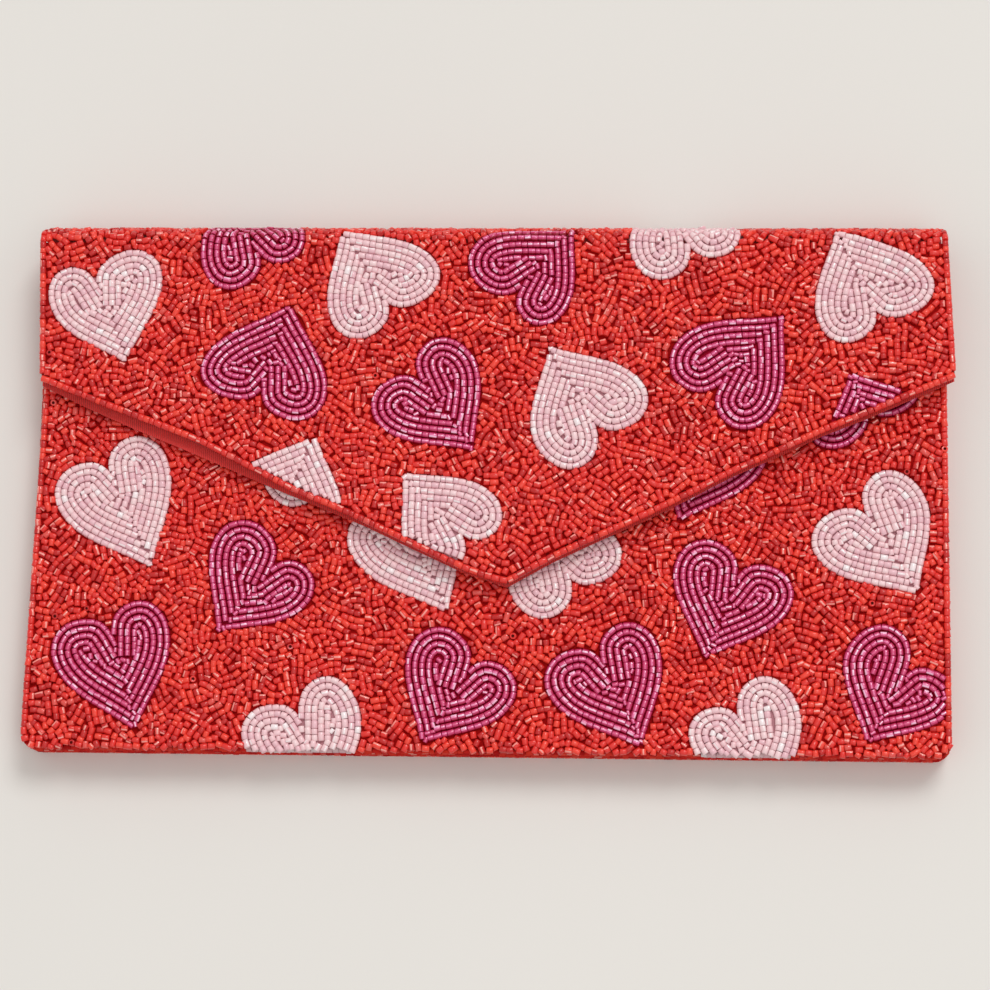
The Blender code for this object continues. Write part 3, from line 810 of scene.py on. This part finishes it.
COLOURS = (
    ("red", (0.80, 0.030, 0.023)),
    ("red_deep", (0.58, 0.014, 0.013)),
    ("red_orange", (0.90, 0.054, 0.032)),
    ("red_rose", (0.80, 0.070, 0.055), 0.22, 0.9),
    # Painted highlight: the paler shade for one facet of some red beads.
    ("red_glint", (0.96, 0.33, 0.28), 0.2, 1.0),
    ("pink", (0.92, 0.60, 0.63)),
    ("pink_deep", (0.86, 0.52, 0.57)),
    ("pink_pale", (0.94, 0.67, 0.685)),
    # Painted highlight: the paler shade for one facet of some pink beads, and the whole colour of a few, as a
    # painted reflection.
    ("pink_glint", (0.98, 0.85, 0.86), 0.18, 1.0),
    ("magenta", (0.86, 0.16, 0.37), 0.2, 1.0),
    ("magenta_bright", (0.92, 0.26, 0.46), 0.16, 1.0),
    ("magenta_rose", (0.76, 0.09, 0.24), 0.25, 0.8),
    # Painted highlight: the paler shade for one facet of some magenta beads.
    ("magenta_glint", (1.0, 0.55, 0.74), 0.16, 1.0),
    # Painted shade for the magenta beads: first for their shoulders and upper ends, then for their lower
    # sides and end caps.
    ("magenta_side", (0.58, 0.030, 0.13), 0.25, 0.5),
    ("magenta_dark", (0.34, 0.003, 0.025), 0.35, 0.2),
    # Painted shade inside the holes of standing beads.
    ("bead_hole", (0.26, 0.008, 0.006), 0.7, 0.0),
)
GLASS = [glass(f"{name}_glass", *look) for name, *look in COLOURS]
SIDE_PAINTED_SHADE = 0.72               # painted shade: the beads round the sides are darkened to this share of their colour, and made duller
DULL_AND_SHADED = [glass(f"{name}_glass_dull_painted_shade", tuple(SIDE_PAINTED_SHADE * c for c in colour), 0.6, 0.0, 0.02)
        for name, colour, *_ in COLOURS]
HOLE = len(GLASS) - 1
BED = [glass(f"{name}_threads", colour, 0.8, 0.0, 0.05) for name, colour in (
    ("red", (0.31, 0.003, 0.003)), ("pink", (0.46, 0.22, 0.25)), ("magenta", (0.36, 0.003, 0.022)))]
BED_TOP = -0.3              # above the middle of the layer of beads
# For each colour of bead: its shades, their shares, the painted shades of its shoulders and sides, the shade
# of a facet's painted highlight and the share of beads that have one.
PALETTE = (
    ((0, 1, 2, 3), (0.46, 0.22, 0.26, 0.06), None, None, 4, 0.19),
    ((5, 6, 7, 8), (0.5, 0.24, 0.22, 0.04), None, None, 8, 0.25),
    ((9, 10, 11), (0.5, 0.25, 0.25), 13, 14, 12, 0.3),
)


def woven(name, colour, rib=0.55, across=0.0, depth=0.12, rough=0.55, sheen=0.3):
    """Ribbed cloth: fine ridges, crossed by finer threads, with colour in random blotches, painted shade in
    the grooves and painted highlight on the ridges.
    """
    made, tree, shader = node_material(name, colour, rough, sheen_weight=sheen)
    place, blotches = uneven(tree, 260.0, 4.0)
    turned = new_node(tree, "Mapping", {"Vector": place, "Rotation": (0, 0, across)}).outputs["Vector"]
    ribs, threads = (new_node(tree, "TexWave", {"Vector": turned, "Scale": pi / (10 * pitch * MM),
                                                "Distortion": 0.6, "Detail": 2.0},
                              bands_direction=direction).outputs["Fac"]
                     for direction, pitch in (("X", rib), ("Y", rib * 0.6)))
    height = multiply_add(tree, threads, 0.35, ribs)
    bump = new_node(tree, "Bump", {"Strength": 0.8, "Distance": depth * MM, "Height": height})
    tree.links.new(bump.outputs["Normal"], shader.inputs["Normal"])
    # Painted shade and highlight: the colour follows the ribs, darker in the grooves and lighter on the
    # ridges, mixed with random blotches of tone.
    ridge_shade_and_blotches = two_toned(tree, multiply_add(tree, blotches, 0.55, ribs), (0.2, 1.3 / 1.55), colour, (0.62, 1.25))
    tree.links.new(ridge_shade_and_blotches, shader.inputs["Base Color"])
    return made


def mottled(name, colour, roughness, scale, spread, metallic=0.0):
    """A surface with fine uneven colour and polish."""
    made, tree, shader = node_material(name, colour, roughness, metallic=metallic)
    noise = uneven(tree, scale, 6.0)[1]
    tones = two_toned(tree, noise, (0.3, 0.7), colour, (1 - spread, 1 + spread))
    tree.links.new(tones, shader.inputs["Base Color"])
    polish = ranged(tree, noise, roughness * 0.8, min(1, roughness * 1.3))
    tree.links.new(polish, shader.inputs["Roughness"])
    return made


GROUND = woven("ground_cloth", (0.34, 0.008, 0.006), 0.4)
LINING = woven("ribbed_lining", (0.66, 0.022, 0.018), 0.62, depth=0.16, sheen=0.12)
TAPE = woven("binding_tape", (0.60, 0.02, 0.016), 0.35, pi / 2)
THREAD = woven("sewing_thread", (0.55, 0.018, 0.014), 0.25, 0.6)
BOARD = mottled("buckram_board", (0.62, 0.58, 0.50), 0.9, 700, 0.12)
METAL = mottled("snap_brass", (0.78, 0.62, 0.36), 0.28, 400, 0.08, 1.0)
MAGNET = mottled("snap_magnet", (0.10, 0.10, 0.11), 0.45, 500, 0.15, 1.0)


# ---- pieces

def chosen(beads, mask):
    return [part[mask] for part in beads]


def fold_turn(place):
    """How far the fold has turned at each point: 0 at the flap and 180 at the back."""
    rise = np.clip((place[:, 2] - TOTAL / 2) / reach_z, -1, 1)
    at = np.arcsin(rise)
    return np.degrees(np.arctan2(reach_z * np.cos(at), reach_y * np.sin(at)))


# The fold's zones: degrees from the flap, the body on the back's side, the body on the flap's side, the
# crease and the CAD's strips there.
ZONES = ((0, 60, "fold_2", "flap", 2, (2,)), (60, 120, "fold_1", "fold_2", 1, (2, 1)),
         (120, 180, "body", "fold_1", 0, (1,)))


def across_crease(piece, zone, kind):
    """Hide the frame's strips that a piece of the fold stands for, and fix the piece where it lies."""
    _, _, before, after, number, strips = ZONES[zone]
    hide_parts(*(f"fold_{kind}_{n}" for n in strips))
    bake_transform(piece)


def put(piece, body, node):
    """Let a finished piece move with a body in place of a frame node."""
    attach(piece, body)
    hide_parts(node)


def quarter(name, beads, mask, form, body, node):
    """Beads as four pieces from left to right, each small enough to export whole."""
    x = beads[0][:, 0]
    cuts = np.linspace(LEFT, RIGHT, 5)[1:-1]
    for k in range(4):
        part = mask & (np.searchsorted(cuts, x) == k)
        put(string_beads(f"{name}_{'abcd'[k]}", chosen(beads, part), form), body, node)


front = lay_front()
beads = sewn(front.beads, front_face)
hidden = beads[0][:, 1] > edge_height(beads[0][:, 0], 3)
standing = beads[6] & ~hidden
quarter("front_beads", beads, ~hidden & ~standing, FINE, "body", "front_beads")
for name, mask, form in (("front_beads_standing", standing, OPEN),
                         ("front_beads_under_flap", hidden, PLAIN)):
    put(string_beads(name, chosen(beads, mask), form), "body", "front_beads")
rows = [FRONT_TOP - SIDE - ROW * k for k in (1, 2)]
sides = rim(rows, MOUTH, (DRAW_LEFT, DRAW_RIGHT), FRONT_HEARTS)
# The side beads take the darker, duller glass: painted shade.
put(string_beads("front_side_beads", sides, FINE, DULL_AND_SHADED), "body", "front_beads")
thread_bed("front", inside_front, (LEFT, BOTTOM), (RIGHT, MOUTH), front_face, FRONT_HEARTS, "body")

outer = lay_flap()
edging = sewn(outer.beads[:outer.edging], wrapped, 0.6)
put(string_beads("flap_edging_beads", edging), "flap", "flap_edging")
field = outer.beads[outer.edging:]
v = np.array(field)[:, 1]
beads = sewn(field, wrapped)
flat = v < FOLD_Y
standing = beads[6] & flat
quarter("flap_beads", beads, flat & ~standing, FINE, "flap", "flap_beads")
put(string_beads("flap_beads_standing", chosen(beads, standing), OPEN), "flap", "flap_beads")
thread_bed("flap", inside_flap_bed, (LEFT, FLAP_TIP[1]), (FLAP_RIGHT[0], FOLD_Y), wrapped, FLAP_HEARTS,
           "flap")
turned = fold_turn(beads[0])
for zone, (low, high, *_) in enumerate(ZONES):
    mask = (v >= FOLD_Y) & (turned >= low) & (turned < high + (zone == 2))
    piece = string_beads(f"fold_beads_{'abc'[zone]}", chosen(beads, mask))
    across_crease(piece, zone, "beads")

back = lay_back()
beads = sewn(back.beads, wrapped, 0.4, -0.08)
quarter("back_beads", beads, np.ones(len(beads[0]), bool), PLAIN, "body", "back_beads")
rows = [SIDE + ROW * k for k in (1, 2)]
sides = rim(rows, FOLD_Y, (0.0, 0.0), BACK_HEARTS)
put(string_beads("back_side_beads", sides, FINE, DULL_AND_SHADED), "body", "back_beads")
thread_bed("back", inside_back, (LEFT, FOLD_END), (RIGHT, TURN_OVER - BOTTOM), wrapped, HEARTS_OVER,
           "body", 2.8)


def soft_copy(node, name, finish, body, step=7.0, wave=0.1):
    """A cloth piece in the space of its CAD solid, with the slight waves of sewn cloth."""
    low, high = mm_box(node)
    work = bmesh.new()
    work.from_mesh(frame["nodes"][node].data)
    for axis in (0, 1):
        normal = tuple(float(k == axis) for k in range(3))
        for at in np.arange(low[axis] + step, high[axis] - 0.5, step):
            bmesh.ops.bisect_plane(work, geom=work.verts[:] + work.edges[:] + work.faces[:],
                                   plane_co=tuple(at * MM * n for n in normal), plane_no=normal)
    for vertex in work.verts:
        x, y = vertex.co.x / MM, vertex.co.y / MM
        vertex.co.z += wave * MM * sin(x / 9 + 0.7 * sin(y / 17)) * sin(y / 11 + 0.5 * sin(x / 23))
    mesh = bpy.data.meshes.new(name)
    work.to_mesh(mesh)
    work.free()
    mesh.materials.append(finish)
    put(new_object(name, mesh), body, node)


def stitches(name, path, height, body, node, pitch=2.6, length=1.9, width=0.45, lean=0.0):
    """Stitches along a path in plan: lying on a level face, or leaning up an upright edge."""
    x, y, run, _ = stations(resample(np.array(path, float), pitch))
    none = np.zeros(len(x))
    up = np.eye(3)[[2] * len(x)]
    out = np.cross(run, up) if lean else up
    beads = (columns(x, y, none + height), run * cos(lean) + up * sin(lean), out,
             none + length, none + width, none.astype(int))
    put(string_beads(name, beads, STITCH, [THREAD]), body, node)


def turned_edge(name, path, low, high, body, node, finish, thickness=0.35):
    """Cloth turned in round an edge: a thin upright band along a path in plan, anticlockwise."""
    path = resample(np.array(path, float), 1.5)
    run = unit(np.gradient(path, axis=0))
    inner = path + thickness * columns(-run[:, 1], run[:, 0])
    heights = np.full(len(path), low), np.full(len(path), high)
    lines = ((path, 0), (inner, 0), (inner, 1), (path, 1))
    points = np.stack([np.column_stack([line, heights[k]]) for line, k in lines], axis=1).reshape(-1, 3)
    last = len(points) - 4
    quads = [(k + a, k + b, k + b + 4, k + a + 4)
             for k in range(0, last, 4) for a, b in ((0, 1), (1, 2), (2, 3), (3, 0))]
    quads += [(3, 2, 1, 0), (last, last + 1, last + 2, last + 3)]
    put(quad_mesh(name, points, quads, [0] * len(quads), [finish]), body, node)


for side in ("back", "front", "flap"):
    body = "flap" if side == "flap" else "body"
    soft_copy(f"{side}_cloth", f"{side}_ground", GROUND, body)
    soft_copy(f"{side}_lining", f"{side}_lining_cloth", LINING, body)
for part in ("slip_pocket", "slip_pocket_hem"):
    soft_copy(part, f"{part}_cloth", LINING, "body")
soft_copy("mouth_binding", "mouth_binding_tape", TAPE, "body", 5.0, 0.06)
soft_copy("side_seam", "side_seam_thread", THREAD, "body", 4.0, 0.1)
seam_low, seam_high = mm_box("side_seam")
whip = atan2(0.76, 0.65)    # how far the whipped stitches lean along the seam
stitches("side_seam_stitches", rim_path(seam_low[0] - LEFT + 0.15, seam_high[1]),
         (seam_low[2] + seam_high[2]) / 2, "body", "side_seam", 2.4,
         (seam_high[2] - seam_low[2] + 0.5) / sin(whip), 0.5, whip)
hem_x = np.linspace(FLAP_LEFT[0] + 5, FLAP_RIGHT[0] - 5, 120)
hem_top = lining_high[1] - 3
hem = [(hem_x[0], hem_top), *zip(hem_x, edge_height(hem_x, 5)), (hem_x[-1], hem_top)]
side_v = np.linspace(lining_high[1], FLAP_LEFT[1] + 3, 20)
edge_x = np.linspace(FLAP_LEFT[0] + 0.9, FLAP_RIGHT[0] - 0.9, 200)
edge = [*zip(flap_sides(side_v)[0] + 0.9, side_v), *zip(edge_x, edge_height(edge_x, 1.0)),
        *zip(flap_sides(side_v[::-1])[1] - 0.9, side_v[::-1])]
turned_edge("flap_turned_edge", edge, lining_high[2] - 0.1, mm_box("flap_cloth")[0][2] + 0.1,
            "flap", "flap_cloth", GROUND)
stitches("flap_lining_stitches", hem, lining_low[2], "flap", "flap_lining")


PAST_ZONE = 4               # degrees that a strip goes on past its zone
LAP = 0.26                  # how far a tail stands off the panel's cloth


def fold_strip(name, zone, depth, thickness, inset, finish, kind, tail=0.0):
    """One bend of the fold's cloth, from the flap's side of its crease to the back's.

    A tail goes on past the fold's ends and laps over the cloth of the panel there.
    """
    low, high = ZONES[zone][:2]
    ends = low - PAST_ZONE * (zone > 0), high + PAST_ZONE * (zone < 2)
    bends = np.radians(np.linspace(*ends, 13))
    past = np.zeros(len(bends))
    if tail and zone == 0:
        bends, past = np.append([0.0, 0.0], bends), np.append([tail, 0.6 * tail], past)
    if tail and zone == 2:
        bends, past = np.append(bends, [pi, pi]), np.append(past, [0.6 * tail, tail])
    lap = np.clip(past / 1.6, 0, 1) * LAP
    at = np.arctan2(reach_y * np.cos(bends), reach_z * np.sin(bends))
    along = np.linspace(LEFT + inset, RIGHT - inset, 90)
    layers = []
    for lower in (depth, depth + thickness):
        y = FOLD_Y + (FOLD_REACH - lower) * np.cos(at) - past
        z = TOTAL / 2 + (TOTAL / 2 - lower - lap) * np.sin(at)
        layers.append(columns(np.tile(along, len(at)), *(np.repeat(part, len(along)) for part in (y, z))))
    ids = np.arange(len(layers[0])).reshape(len(at), len(along))
    a, b, c, d = (part.ravel() for part in (ids[:-1, :-1], ids[:-1, 1:], ids[1:, 1:], ids[1:, :-1]))
    edge = np.concatenate([ids[0], ids[1:, -1], ids[-1, -2::-1], ids[-2:0:-1, 0]])
    after = np.roll(edge, -1)
    quads = np.concatenate([np.stack(corners, axis=1) for corners in (
        (a, b, c, d), ids.size + np.array((a, d, c, b)), (after, edge, edge + ids.size, after + ids.size))])
    piece = quad_mesh(name, np.concatenate(layers), quads, np.zeros(len(quads), int), [finish], True)
    across_crease(piece, zone, kind)


for zone, letter in enumerate("abc"):
    fold_strip(f"fold_ground_{letter}", zone, BEADS + 0.3, 0.3, 2.2, GROUND, "cloth")
    fold_strip(f"fold_lining_{letter}", zone, PANEL - 0.4, 0.4, 2.8, LINING, "lining", 3.3)

for finish, nodes in ((BOARD, ("back_stiffener", "front_stiffener", "flap_stiffener")),
                      (METAL, ("snap_socket_shell", "snap_socket_base", "snap_socket_washer", "snap_stud",
                               "snap_stud_washer")),
                      (MAGNET, ("snap_magnet",))):
    for node in nodes:
        for slot in frame["nodes"][node].material_slots:
            slot.material = finish


# ---- floor, lights and camera

def area_light(name, place, aim, size, power):
    data = bpy.data.lights.new(name, "AREA")
    data.shape = "RECTANGLE"
    data.size, data.size_y = size
    data.energy = power
    made = new_object(name, data)
    made.location = place
    made.rotation_euler = (Vector(aim) - Vector(place)).to_track_quat("-Z", "Y").to_euler()


half = 3000
corners = [(-half, -half, -0.1), (half, -half, -0.1), (half, half, -0.1), (-half, half, -0.1)]
finish = mottled("pale_floor", (0.80, 0.775, 0.735), 0.9, 3, 0.015)
quad_mesh("floor", corners, (0, 1, 2, 3), (0,), [finish])

area_light("softbox", (1.9, 3.9, 5.5), (0, 0, 0), (3.0, 2.6), 186)
area_light("fill", (0.25, -0.45, 1.35), (0.05, -0.15, 0), (0.8, 0.8), 2.0)
world = bpy.data.worlds.new("studio")
world.use_nodes = True
sky = world.node_tree.nodes["Background"].inputs
sky["Color"].default_value = (1.0, 0.985, 0.965, 1)
sky["Strength"].default_value = 0.61
bpy.context.scene.world = world
bpy.context.scene.view_settings.view_transform = "Standard"

camera_data = bpy.data.cameras.new("camera")
camera_data.lens = 109.1
camera = new_object("camera", camera_data)
camera.location = (0.0588, -0.1803, 0.9042)
camera.rotation_euler = tuple(radians(a) for a in (11.304, 3.461, 1.06))
bpy.context.scene.camera = camera
